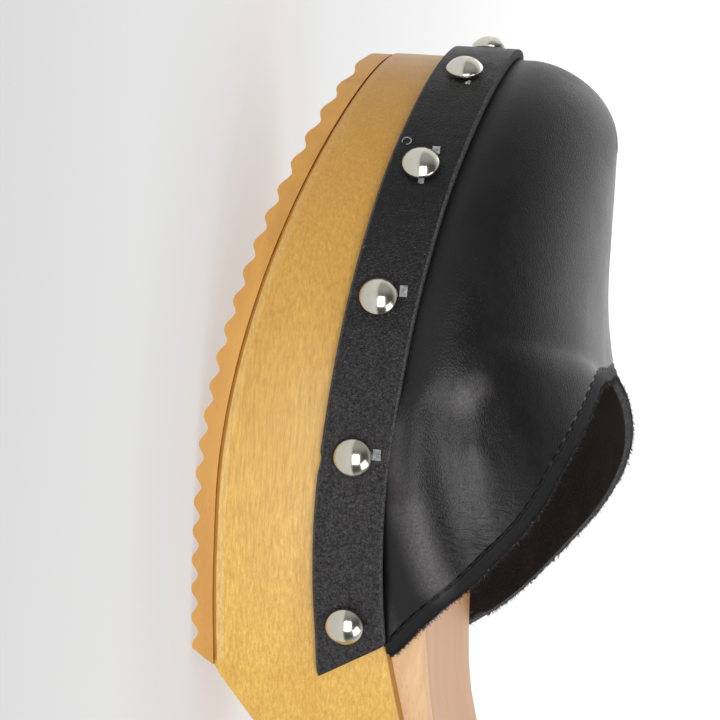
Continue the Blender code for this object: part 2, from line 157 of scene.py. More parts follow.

# Rubbed places of the vamp, painted lighter: partly rubbed grain, partly a painted highlight on the lit folds
# half width, strength, then back, y and z of the points along it
RUBS_AND_HIGHLIGHTS = (
    (3.6, 0.9, ((80.0, 49.0, 41.2), (88.0, 50.1, 42.4), (96.0, 50.2, 44.8))),
    (5.4, 1.15, ((96.0, 50.2, 44.8), (105.0, 48.9, 48.3), (110.5, 47.4, 50.8))),
    (5.0, 1.0, ((70.5, 48.2, 56.4), (73.5, 48.9, 54.2))),
    (6.5, 0.5, ((86.0, 49.0, 56.3), (97.0, 48.2, 58.0))),
)

# Scraps of clear plastic caught under the nails
# back, y, z, length, width
SCRAPS = (
    (85.2, 51.3, 37.7, 2.3, 1.7),
    (51.8, 46.7, 40.4, 2.4, 1.6),
    (22.3, 31.5, 43.4, 1.9, 1.7),
    (28.9, 36.1, 41.2, 1.5, 1.2),
    (7.3, 15.4, 47.4, 1.8, 1.0),
)
# Curled shaving: its place, its radius, that of its section, and how far it is closed in degrees
CURL = (20.9, 30.3, 37.0)
CURL_RADIUS = 0.95
CURL_SECTION = 0.11
CURL_ANGLE = 300.0

# Camera that took the picture, in millimetres and degrees
TARGET = (152.35, 40.0, 31.44)
DISTANCE = 657.51
SWING = 2.26
RISE = 7.74
ROLL = -3.98
LENS = 159.4
SENSOR = 36.0

# Floor, half its side in metres
FLOOR_REACH = 30.0


def between(table, at):
    """A table's second column at a place between its rows."""
    for (one, low), (two, high) in zip(table, table[1:]):
        if at <= two:
            share = max(at - one, 0) / (two - one)
            return low + (high - low) * share
    return table[-1][1]


def place(back, y, z):
    """A point given in millimetres, with back behind the toe tip."""
    return Vector((REST_BACK - back, y, z)) * MM


def behind_tip(spot):
    """Distance of a point behind the toe tip, in millimetres."""
    return REST_BACK - spot.x / MM


def soft(distance, reach):
    """Falls softly from 1 at no distance to 0 at the reach."""
    share = min(distance / reach, 1)
    return (1 - share * share) ** 2


# Materials


def add(tree, kind, inputs=None, **properties):
    """A node with its properties and inputs set; an input may be a value or another node's socket."""
    made = tree.nodes.new(kind)
    for name, value in properties.items():
        setattr(made, name, value)
    for name, value in (inputs or {}).items():
        if isinstance(value, bpy.types.NodeSocket):
            tree.links.new(value, made.inputs[name])
        else:
            made.inputs[name].default_value = value
    return made


def mix(tree, share, one, two):
    """Two colours mixed by a share."""
    made = add(tree, "ShaderNodeMix", data_type="RGBA")
    for number, value in ((0, share), (6, one), (7, two)):
        if isinstance(value, bpy.types.NodeSocket):
            tree.links.new(value, made.inputs[number])
        elif number == 0:
            made.inputs[number].default_value = value
        else:
            made.inputs[number].default_value = (*value, 1)
    return made.outputs[2]


def sums(tree, operation, one, two):
    """Two values joined by an operation."""
    made = add(tree, "ShaderNodeMath", {0: one, 1: two}, operation=operation)
    return made.outputs[0]


def span(tree, value, low, high, start=0.0, end=1.0):
    """A value mapped from low and high to start and end, and held there."""
    ends = {"Value": value, "From Min": low, "From Max": high, "To Min": start, "To Max": end}
    return add(tree, "ShaderNodeMapRange", ends).outputs["Result"]


def noise(tree, vector, scale, detail=3.0, roughness=0.55, distortion=0.0):
    """Soft random values from 0 to 1; scale is their number per metre."""
    inputs = {"Vector": vector, "Scale": scale, "Detail": detail}
    inputs.update({"Roughness": roughness, "Distortion": distortion})
    return add(tree, "ShaderNodeTexNoise", inputs).outputs["Fac"]


def stretched(tree, vector, scale):
    """Coordinates scaled on each axis."""
    return add(tree, "ShaderNodeMapping", {"Vector": vector, "Scale": scale}).outputs["Vector"]


def group(name, inputs, outputs):
    """An empty node group with its sockets, and its input and output nodes."""
    made = bpy.data.node_groups.new(name, "ShaderNodeTree")
    for label, kind, value in inputs:
        socket = made.interface.new_socket(label, in_out="INPUT", socket_type=kind)
        if value is not None:
            socket.default_value = value
    for label in outputs:
        made.interface.new_socket(label, in_out="OUTPUT", socket_type="NodeSocketFloat")
    return made, made.nodes.new("NodeGroupInput").outputs, made.nodes.new("NodeGroupOutput")


def leather_grain():
    """Pebbles, the fine lines between them and a slow unevenness, as heights from 0 to 1."""
    sockets = (
        ("Vector", "NodeSocketVector", None),
        ("Pebbles", "NodeSocketFloat", 1500.0),
        ("Lines", "NodeSocketFloat", 0.5),
    )
    tree, given, result = group("leather_grain", sockets, ("Height", "Patches"))
    inputs = {"Vector": given["Vector"], "Scale": 420.0, "Detail": 2.0}
    warp = add(tree, "ShaderNodeTexNoise", inputs).outputs["Color"]
    shift = add(tree, "ShaderNodeVectorMath", {0: warp, "Scale": 0.0016}, operation="SCALE")
    inputs = {0: given["Vector"], 1: shift.outputs[0]}
    where = add(tree, "ShaderNodeVectorMath", inputs, operation="ADD").outputs[0]
    inputs = {"Vector": where, "Scale": given["Pebbles"]}
    cells = add(tree, "ShaderNodeTexVoronoi", inputs, feature="DISTANCE_TO_EDGE")
    pebbles = span(tree, cells.outputs["Distance"], 0.0, 0.28)
    fine = noise(tree, where, 5200.0, 2.0)
    slow = noise(tree, given["Vector"], 160.0, 4.0)
    lined = sums(tree, "MULTIPLY", pebbles, given["Lines"])
    height = sums(tree, "ADD", lined, sums(tree, "MULTIPLY", fine, 0.35))
    tree.links.new(height, result.inputs["Height"])
    tree.links.new(span(tree, slow, 0.3, 0.7), result.inputs["Patches"])
    return tree


def wood_grain():
    """Fine streaks along the sole, broad bands and short pores, each from 0 to 1."""
    sockets = (
        ("Vector", "NodeSocketVector", None),
        ("Streaks", "NodeSocketFloat", 900.0),
    )
    tree, given, result = group("wood_grain", sockets, ("Streaks", "Bands", "Pores"))
    bent = stretched(tree, given["Vector"], (0.07, 1.0, 1.0))
    streaks = noise(tree, bent, given["Streaks"], 4.0, 0.65, 0.2)
    bands = noise(tree, stretched(tree, given["Vector"], (0.12, 1.0, 1.0)), 130.0, 3.0, 0.5, 0.4)
    pores = noise(tree, stretched(tree, given["Vector"], (0.16, 1.0, 1.0)), 2400.0, 1.0)
    tree.links.new(span(tree, streaks, 0.3, 0.7), result.inputs["Streaks"])
    tree.links.new(span(tree, bands, 0.3, 0.7), result.inputs["Bands"])
    tree.links.new(span(tree, pores, 0.62, 0.74), result.inputs["Pores"])
    return tree


def wear_marks():
    """Dust specks and faint rubbed places, as masks."""
    sockets = (("Vector", "NodeSocketVector", None),)
    tree, given, result = group("wear_marks", sockets, ("Specks", "Rubs"))
    specks = noise(tree, given["Vector"], 2600.0, 1.0)
    rubs = noise(tree, given["Vector"], 90.0, 5.0, 0.65)
    tree.links.new(span(tree, specks, 0.8, 0.84), result.inputs["Specks"])
    tree.links.new(span(tree, rubs, 0.52, 0.75), result.inputs["Rubs"])
    return tree


def effect(tree, name, inputs):
    """One of the shared effects, placed in a material."""
    made = add(tree, "ShaderNodeGroup", node_tree=bpy.data.node_groups[name])
    for label, value in inputs.items():
        if isinstance(value, bpy.types.NodeSocket):
            tree.links.new(value, made.inputs[label])
        else:
            made.inputs[label].default_value = value
    return made.outputs


def material(name):
    """A new material with its tree, shader and object coordinates."""
    made = bpy.data.materials.new(name)
    made.use_nodes = True
    tree = made.node_tree
    shader = tree.nodes["Principled BSDF"]
    where = tree.nodes.new("ShaderNodeTexCoord").outputs["Object"]
    return made, tree, shader, where


def relief(tree, shader, height, depth):
    """Bump on the shader's normal; depth is that of a height of 1, in metres."""
    bump = add(tree, "ShaderNodeBump", {"Height": height, "Distance": depth, "Strength": 1.0})
    tree.links.new(bump.outputs["Normal"], shader.inputs["Normal"])


def side_wood(look, name, colour, bands):
    """Lacquered wood of the sides and the underside, browner towards the toe."""
    made, tree, shader, where = material(name)
    grain = effect(tree, "wood_grain", {"Vector": where, "Streaks": 1900.0})
    marks = effect(tree, "wear_marks", {"Vector": where})
    toe = span(tree, add(tree, "ShaderNodeSeparateXYZ", {0: where}).outputs["X"], 0.12, 0.22)
    honey = mix(tree, sums(tree, "MULTIPLY", grain["Bands"], 0.5), colour, bands)
    honey = mix(tree, sums(tree, "MULTIPLY", toe, 0.75), honey, look.wood_toe)
    streaked = mix(tree, sums(tree, "MULTIPLY", grain["Streaks"], 0.6), honey, look.wood_streak)
    pored = mix(tree, sums(tree, "MULTIPLY", grain["Pores"], 0.15), streaked, look.wood_streak)
    fine = noise(tree, stretched(tree, where, (0.2, 1.0, 1.0)), 3600.0, 3.0, 0.7)
    flecked = mix(tree, span(tree, fine, 0.35, 0.65, 0.3, 0.0), pored, look.wood_streak)
    tree.links.new(flecked, shader.inputs["Base Color"])
    tree.links.new(span(tree, marks["Rubs"], 0, 1, 0.36, 0.46), shader.inputs["Roughness"])
    shader.inputs["Coat Weight"].default_value = 0.12
    shader.inputs["Coat Roughness"].default_value = 0.3
    height = sums(tree, "MULTIPLY", grain["Streaks"], -1.0)
    relief(tree, shader, height, 0.00003)
    return made


def foot_wood(look, name, colour, fleck):
    """Pale wood of the footbed and of the lip round it."""
    made, tree, shader, where = material(name)
    grain = effect(tree, "wood_grain", {"Vector": where, "Streaks": 700.0})
    base = mix(tree, sums(tree, "MULTIPLY", grain["Bands"], 0.3), colour, look.footbed_shade)
    streaked = mix(tree, sums(tree, "MULTIPLY", grain["Streaks"], 0.22), base, look.footbed_shade)
    pored = mix(tree, sums(tree, "MULTIPLY", grain["Pores"], fleck), streaked, look.wood_streak)
    tree.links.new(pored, shader.inputs["Base Color"])
    shader.inputs["Roughness"].default_value = 0.55
    height = sums(tree, "MULTIPLY", grain["Streaks"], -1.0)
    relief(tree, shader, height, 0.00004)
    return made


def rabbet_glue_and_shade(look):
    """Darker brown of the rabbet's floor and of the chamfer above the toothed tread: glue and lacquer
    gathered there, and painted shade of these grooves.
    """
    made, tree, shader, where = material("rabbet_glue_and_shade")
    grain = effect(tree, "wood_grain", {"Vector": where, "Streaks": 1000.0})
    base = mix(tree, grain["Bands"], look.wood_toe, look.wood_streak)
    tree.links.new(base, shader.inputs["Base Color"])
    shader.inputs["Roughness"].default_value = 0.5
    return made


def tread_rubber(look):
    """Tan tread in the colour of the wood, with a faint moulded grain."""
    made, tree, shader, where = material("tan_tread")
    grain = effect(tree, "wood_grain", {"Vector": where, "Streaks": 1300.0})
    marks = effect(tree, "wear_marks", {"Vector": where})
    base = mix(tree, grain["Bands"], look.tread_dark, look.tread)
    rubbed = mix(tree, sums(tree, "MULTIPLY", marks["Rubs"], 0.3), base, look.wood_dark)
    specked = mix(tree, sums(tree, "MULTIPLY", grain["Pores"], 0.3), rubbed, look.wood_streak)
    tree.links.new(specked, shader.inputs["Base Color"])
    shader.inputs["Roughness"].default_value = 0.5
    relief(tree, shader, noise(tree, where, 1500.0), 0.00003)
    return made


def vamp_leather(look):
    """Black leather with a soft grain, a sunk seam near the cut edge, a few fine wrinkles, and lighter folds
    that are partly rubbed and partly a painted highlight.
    """
    made, tree, shader, where = material("black_leather")
    inputs = {"Vector": stretched(tree, where, (0.6, 1.0, 1.0)), "Pebbles": look.grain, "Lines": 0.6}
    grain = effect(tree, "leather_grain", inputs)
    marks = effect(tree, "wear_marks", {"Vector": where})
    edge = add(tree, "ShaderNodeAttribute", attribute_name="cut_gap").outputs["Fac"]
    creased = add(tree, "ShaderNodeAttribute", attribute_name="wrinkled").outputs["Fac"]
    base = mix(tree, grain["Patches"], look.leather, look.leather_grey)
    rubbed = add(tree, "ShaderNodeAttribute", attribute_name="rubbed").outputs["Fac"]
    broken = span(tree, noise(tree, where, 1700.0, 4.0, 0.7), 0.35, 0.62, 0.45, 1.0)
    # Lighter leather on the folds: rubbed grain, and a painted highlight where they face the light
    worn = mix(tree, sums(tree, "MULTIPLY", rubbed, broken), base, look.leather_rub_highlight)
    dusty = mix(tree, sums(tree, "MULTIPLY", marks["Specks"], 0.35), worn, look.dust)
    tree.links.new(dusty, shader.inputs["Base Color"])
    band = span(tree, edge, 2.4 * MM, 3.2 * MM, 0.4, 0.0)
    gloss = sums(tree, "ADD", span(tree, grain["Patches"], 0, 1, 0.36, 0.44), band)
    tree.links.new(gloss, shader.inputs["Roughness"])
    shader.inputs["Specular IOR Level"].default_value = 0.4
    seam = sums(tree, "ABSOLUTE", sums(tree, "SUBTRACT", edge, look.seam_gap), 0.0)
    sunk = span(tree, seam, 0.0, look.seam_width, -1.0, 0.0)
    rolled = span(tree, edge, 0.0, 0.9 * MM, -1.2, 0.0)
    lines = noise(tree, stretched(tree, where, (1.0, 0.5, 0.35)), 900.0, 3.0, 0.5, 0.6)
    wrinkles = sums(tree, "MULTIPLY", creased, span(tree, lines, 0.35, 0.6))
    height = sums(tree, "MULTIPLY", grain["Height"], 0.08)
    for part, share in ((sunk, 1.0), (rolled, 0.5), (wrinkles, 0.18)):
        height = sums(tree, "ADD", height, sums(tree, "MULTIPLY", part, share))
    relief(tree, shader, height, 0.0005)
    return made


def strip_leather(look):
    """Coarser black leather of the nailed strip, with lighter flecks towards the heel: rubbed grain and
    painted sheen.
    """
    made, tree, shader, where = material("black_strip_leather")
    grain = effect(tree, "leather_grain", {"Vector": where, "Pebbles": look.strip_grain, "Lines": 0.8})
    marks = effect(tree, "wear_marks", {"Vector": where})
    base = mix(tree, grain["Patches"], look.leather, look.leather_grey)
    # Lighter flecks towards the heel: rubbed grain, and painted sheen where the strip faces the light
    heelward = span(tree, add(tree, "ShaderNodeSeparateXYZ", {0: where}).outputs["X"], 0.185, 0.135, 0.1)
    flecks = span(tree, noise(tree, where, 1600.0, 4.0, 0.6), 0.38, 0.62, 0.0, 0.9)
    rub_flecks_and_sheen = mix(tree, sums(tree, "MULTIPLY", flecks, heelward), base, look.leather_worn)
    dusty = mix(tree, sums(tree, "MULTIPLY", marks["Specks"], 0.5), rub_flecks_and_sheen, look.dust)
    tree.links.new(dusty, shader.inputs["Base Color"])
    tree.links.new(span(tree, marks["Rubs"], 0, 1, 0.4, 0.5), shader.inputs["Roughness"])
    shader.inputs["Specular IOR Level"].default_value = 0.33
    slow = noise(tree, where, 260.0, 3.0)
    height = sums(tree, "ADD", sums(tree, "MULTIPLY", grain["Height"], 0.28), slow)
    relief(tree, shader, height, 0.0004)
    return made


def cut_leather(look):
    """Raw fibrous cut edge of the leather."""
    made, tree, shader, where = material("cut_leather")
    fibres = noise(tree, stretched(tree, where, (1.0, 1.0, 0.5)), 3000.0, 3.0, 0.7)
    base = mix(tree, span(tree, fibres, 0.35, 0.7), look.leather_grey, look.raw_edge)
    tree.links.new(base, shader.inputs["Base Color"])
    shader.inputs["Roughness"].default_value = 0.85
    relief(tree, shader, fibres, 0.00025)
    return made


def suede(look):
    """Napped flesh side of the leather, inside the vamp."""
    made, tree, shader, where = material("brown_suede")
    nap = noise(tree, where, 2600.0, 4.0, 0.7)
    brushed = noise(tree, stretched(tree, where, (0.3, 1.0, 1.0)), 260.0, 4.0)
    base = mix(tree, span(tree, brushed, 0.35, 0.65), look.suede, look.suede_light)
    napped = mix(tree, span(tree, nap, 0.45, 0.7, 0.0, 0.5), base, look.leather_worn)
    tree.links.new(napped, shader.inputs["Base Color"])
    shader.inputs["Roughness"].default_value = 0.95
    shader.inputs["Sheen Weight"].default_value = 0.08
    shader.inputs["Specular IOR Level"].default_value = 0.2
    relief(tree, shader, nap, 0.0004)
    return made


def nickel(look):
    """Polished nickel with faint smears."""
    made, tree, shader, where = material("polished_nickel")
    marks = effect(tree, "wear_marks", {"Vector": where})
    base = mix(tree, sums(tree, "MULTIPLY", marks["Rubs"], 0.4), look.nickel, look.nickel_dull)
    tree.links.new(base, shader.inputs["Base Color"])
    tree.links.new(span(tree, marks["Rubs"], 0, 1, 0.17, 0.27), shader.inputs["Roughness"])
    shader.inputs["Metallic"].default_value = 1.0
    return made


def thread(look):
    """Waxed black thread."""
    made, tree, shader, where = material("black_thread")
    inputs = {"Vector": where, "Scale": 900.0, "Distortion": 1.5}
    twist = add(tree, "ShaderNodeTexWave", inputs).outputs["Fac"]
    base = mix(tree, sums(tree, "MULTIPLY", twist, 0.5), look.leather, look.leather_grey)
    tree.links.new(base, shader.inputs["Base Color"])
    shader.inputs["Roughness"].default_value = 0.6
    relief(tree, shader, twist, 0.00008)
    return made


def fibre(name, colour, tips):
    """Loose fibres of the cut edges."""
    made, tree, shader, where = material(name)
    base = mix(tree, noise(tree, where, 900.0), colour, tips)
    tree.links.new(base, shader.inputs["Base Color"])
    shader.inputs["Roughness"].default_value = 0.9
    return made


def clear_film(look):
    """Clear plastic scraps caught under the nails."""
    made, tree, shader, where = material("clear_plastic")
    cloudy = noise(tree, where, 900.0)
    base = mix(tree, cloudy, look.dust, (0.9, 0.92, 0.95))
    tree.links.new(base, shader.inputs["Base Color"])
    tree.links.new(span(tree, cloudy, 0.3, 0.7, 0.3, 0.7), shader.inputs["Alpha"])
    shader.inputs["Roughness"].default_value = 0.2
    return made


# Meshes


def copy_of(node):
    """A merged copy of a solid of the model, with its triangles joined in pairs."""
    bm = bmesh.new()
    bm.from_mesh(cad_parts[node].data)
    bmesh.ops.remove_doubles(bm, verts=bm.verts, dist=MERGE)
    bmesh.ops.join_triangles(
        bm,
        faces=bm.faces,
        angle_face_threshold=math.radians(40),
        angle_shape_threshold=math.radians(60),
    )
    bm.normal_update()
    return bm


def crease(bm, degrees, weight):
    """Keep the edges whose faces meet at more than this angle crisp when the mesh is subdivided."""
    layer = bm.edges.layers.float.get("crease_edge") or bm.edges.layers.float.new("crease_edge")
    limit = math.radians(degrees)
    for edge in bm.edges:
        if len(edge.link_faces) == 2 and edge.calc_face_angle() > limit:
            edge[layer] = weight


def subdivided(bm, levels):
    """The mesh after smooth subdivision."""
    rough = bpy.data.meshes.new("rough")
    bm.to_mesh(rough)
    bm.free()
    holder = bpy.data.objects.new("rough", rough)
    bpy.context.scene.collection.objects.link(holder)
    finer = holder.modifiers.new("finer", "SUBSURF")
    finer.levels = levels
    finer.render_levels = levels
    scene = bpy.context.evaluated_depsgraph_get()
    smooth = bpy.data.meshes.new_from_object(holder.evaluated_get(scene))
    bpy.data.objects.remove(holder)
    bpy.data.meshes.remove(rough)
    made = bmesh.new()
    made.from_mesh(smooth)
    bpy.data.meshes.remove(smooth)
    made.normal_update()
    return made


def piece(name, bm, materials, replaced=(), sharp=40):
    """A finished piece that rides on the shoe and takes the place of solids of the model."""
    mesh = bpy.data.meshes.new(name)
    bm.to_mesh(mesh)
    bm.free()
    for one in materials:
        mesh.materials.append(one)
    mesh.shade_smooth()
    mesh.set_sharp_from_angle(angle=math.radians(sharp))
    obj = bpy.data.objects.new(name, mesh)
    bpy.context.scene.collection.objects.link(obj)
    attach(obj, "root")
    if replaced:
        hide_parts(*replaced)
    return obj


def rounded_off(obj, width):
    """Round the piece's sharp edges."""
    rounded = obj.modifiers.new("rounded", "BEVEL")
    rounded.width = width
    rounded.segments = 2
    rounded.limit_method = "ANGLE"
    rounded.angle_limit = math.radians(40)
    rounded.harden_normals = True


def walk(edges):
    """The points of the longest row of joined edges, in order from one end."""
    links = {}
    for edge in edges:
        for vert in edge.verts:
            links.setdefault(vert, []).append(edge)
    done = set()
    rows = []
    for here in sorted(links, key=lambda vert: (len(links[vert]), vert.index)):
        row = [here.co.copy()]
        ahead = [edge for edge in links[here] if edge not in done]
        while ahead:
            done.add(ahead[0])
            here = ahead[0].other_vert(here)
            row.append(here.co.copy())
            ahead = [edge for edge in links[here] if edge not in done]
        rows.append(row)
    if not rows:
        raise RuntimeError("no row of edges was found")
    return max(rows, key=len)


def along(row, pitch):
    """Points and directions at even steps along a row of points."""
    spots = []
    left = pitch / 2
    for one, two in zip(row, row[1:]):
        length = (two - one).length
        while left <= length and length > 0:
            spots.append((one.lerp(two, left / length), (two - one).normalized()))
            left += pitch
        left -= length
    return spots


def gap_to(spot, points):
    """Distance from a spot to a line through the given points."""
    best = math.inf
    for one, two in zip(points, points[1:]):
        nearest, share = intersect_point_line(spot, one, two)
        if share < 0:
            nearest = one
        elif share > 1:
            nearest = two
        best = min(best, (spot - nearest).length)
    return best


def outward(spot):
    """Direction away from the room inside the vamp."""
    middle = place(39.0, -4.0, 56.0)
    middle.x = min(spot.x, middle.x)
    return (spot - middle).normalized()


def search_tree(row):
    """A search tree of the points of a row."""
    tree = KDTree(len(row))
    for number, spot in enumerate(row):
        tree.insert(spot, number)
    tree.balance()
    return tree


def tint(name, description, default):
    """A colour of the look."""
    return FloatVectorProperty(name=name, description=description, subtype="COLOR", default=default)


def measure(name, description, default):
    """A length of the look, its default in millimetres."""
    return FloatProperty(
        name=name, description=description, default=default * MM, unit="LENGTH", precision=5
    )


class ClogLook(PropertyGroup):
    """Colours and sizes of the finish."""

    wood: tint("Wood", "Honey colour of the lacquered sides", (0.98, 0.62, 0.13))
    wood_dark: tint("Wood bands", "Darker bands of the lacquered sides", (0.75, 0.4, 0.072))
    wood_toe: tint("Wood at the toe", "Browner lacquer towards the toe", (0.54, 0.24, 0.03))
    # Painted highlight: the band of the side above the toothed tread, painted lighter where its rounded edge
    # catches the light
    wood_highlight: tint("Wood edge", "Worn lighter edge of the wood above the tread", (0.95, 0.66, 0.24))
    wood_streak: tint("Wood streaks", "Fine streaks and pores", (0.44, 0.21, 0.04))
    footbed: tint("Footbed", "Pale wood under the foot", (0.65, 0.32, 0.125))
    footbed_shade: tint("Footbed shade", "Darker bands of the footbed", (0.44, 0.22, 0.1))
    lip: tint("Lip", "Pale wood round the footbed", (0.89, 0.58, 0.32))
    tread: tint("Tread", "Tan of the treads", (0.74, 0.38, 0.085))
    tread_dark: tint("Tread shade", "Darker tan of the treads", (0.58, 0.28, 0.06))
    leather: tint("Leather", "Black of the leather", (0.003, 0.003, 0.0033))
    leather_grey: tint("Leather, worn", "Greyer places of the leather", (0.0065, 0.006, 0.0065))
    # Painted highlight: the folds of the vamp that face the light are painted lighter, as well as rubbed
    leather_rub_highlight: tint("Leather, shiny", "Rubbed folds of the vamp", (0.085, 0.077, 0.08))
    # Rubbed grain of the strip, partly painted sheen towards the heel; also the suede's nap and the dark
    # fibres' tips
    leather_worn: tint("Leather, rubbed", "Rubbed grain of the strip", (0.045, 0.041, 0.043))
    raw_edge: tint("Cut edge", "Fibres of the cut edge", (0.12, 0.12, 0.125))
    suede: tint("Suede", "Inside of the vamp", (0.007, 0.005, 0.004))
    suede_light: tint("Suede, brushed", "Brushed places inside the vamp", (0.018, 0.0125, 0.0095))
    dust: tint("Dust", "Dust and loose fibres", (0.3, 0.3, 0.3))
    nickel: tint("Nickel", "Polished nail heads", (0.7, 0.67, 0.59))
    nickel_dull: tint("Nickel, smeared", "Smeared places of the nail heads", (0.55, 0.5, 0.4))
    grain: FloatProperty(name="Grain", description="Pebbles of the vamp per metre", default=1900.0)
    strip_grain: FloatProperty(
        name="Strip grain", description="Pebbles of the strip per metre", default=1500.0
    )
    seam_gap: measure("Seam from the edge", "Distance of the seam from the cut edge", 3.2)
    seam_width: measure("Seam width", "Half width of the sunk seam", 0.5)
    stitch_pitch: measure("Stitch pitch", "Length of one stitch with its gap", 3.0)
    thread_width: measure("Thread", "Width of the thread", 0.5)
    fibres: IntProperty(
        name="Fibres", description="Loose grey fibres along the cut edges", default=260, min=0
    )
    fuzz: IntProperty(
        name="Fuzz", description="Short dark fibres along the throat's cut edge", default=4500, min=0
    )


class CLOG_OT_wood(Operator):
    """Finish the carved wooden sole"""

    bl_idname = "clog.wood"
    bl_label = "Wooden sole"

    def execute(self, context):
        look = context.scene.clog_look
        bm = copy_of("wooden_sole")
        for face in bm.faces:
            face.material_index = self.zone(face)
        self.painted_highlight_edge(bm)
        materials = (
            side_wood(look, "lacquered_wood", look.wood, look.wood_dark),
            foot_wood(look, "footbed_wood", look.footbed, 0.15),
            foot_wood(look, "lip_wood", look.lip, 0.35),
            rabbet_glue_and_shade(look),
            # Band above the toothed tread, painted lighter as a highlight
            side_wood(look, "highlight_wood", look.wood_highlight, look.wood),
        )
        sole = piece("carved_sole", bm, materials, ("wooden_sole",), 35)
        rounded_off(sole, WOOD_ROUNDING * MM)
        return {"FINISHED"}

    def painted_highlight_edge(self, bm):
        """Number the chamfer above the toothed tread 3, and a narrow band of the side next to it 4, which
        takes a painted highlight.
        """
        edges = []
        for edge in bm.edges:
            middle = (edge.verts[0].co + edge.verts[1].co) / 2
            if len(edge.link_faces) != 2 or behind_tip(middle) > TREAD_REAR:
                continue
            low, high = sorted(edge.link_faces, key=lambda face: face.normal.z)
            if CHAMFER[0] < low.normal.z < CHAMFER[1] and abs(high.normal.z) < STEEP:
                # The chamfer takes the rabbet's darker brown, painted shade of the groove above the tread
                low.material_index = 3
                edges.append(edge)
        if not edges:
            raise RuntimeError("the sole has no chamfer above the toothed tread")
        rim = dict.fromkeys(vert for edge in edges for vert in edge.verts)
        uprights = {}
        for vert in rim:
            for edge in vert.link_edges:
                steep = all(abs(face.normal.z) < STEEP for face in edge.link_faces)
                if steep and edge.other_vert(vert) not in rim:
                    uprights[edge] = vert
        tops = set()
        for edge, vert in uprights.items():
            share = min(HIGHLIGHT_BAND * MM / edge.calc_length(), 0.9)
            tops.add(bmesh.utils.edge_split(edge, vert, share)[1])
        for face in list(bm.faces):
            ends = [vert for vert in face.verts if vert in tops]
            if len(ends) == 2:
                bmesh.utils.face_split(face, *ends)
        for face in bm.faces:
            banded = all(vert in rim or vert in tops for vert in face.verts)
            if banded and abs(face.normal.z) < STEEP:
                # This band takes the lighter colour of a painted highlight
                face.material_index = 4

    def zone(self, face):
        """0 for the sides, 1 for the footbed, 2 for the lip and 3 for the rabbet's floor."""
        middle = face.calc_center_median()
        above = middle.z / MM - between(LEDGE, behind_tip(middle))
        if abs(above) < ON_LEDGE and face.normal.z > LEVEL:
            return 3
        if above < ON_LEDGE:
            return 0
        return 1 if face.normal.z > FOOTBED_LEVEL else 2


class CLOG_OT_treads(Operator):
    """Finish the toothed tread and the heel's tread"""

    bl_idname = "clog.treads"
    bl_label = "Treads"

    def execute(self, context):
        look = context.scene.clog_look
        rubber = tread_rubber(look)
        for node, name in (("forefoot_tread", "toothed_tread"), ("heel_tread", "flat_tread")):
            bm = copy_of(node)
            crease(bm, 28, 1.0)
            bm = subdivided(bm, 2)
            top = {vert for face in bm.faces if face.normal.z > 0.7 for vert in face.verts}
            for vert in top:
                vert.co.z += GLUE * MM
            tread = piece(name, bm, (rubber,), (node,), 30)
            rounded_off(tread, TREAD_ROUNDING * MM)
        return {"FINISHED"}


def throat_row(bm):
    """The vamp's cut edge at the throat, from the inner tail to the outer one."""
    edges = []
    for edge in bm.edges:
        faces = edge.link_faces
        if len(faces) != 2 or {face.material_index for face in faces} != {0, 2}:
            continue
        rim = max(faces, key=lambda face: face.material_index)
        if rim.normal.z > -0.5:
            edges.append(edge)
    return walk(edges)


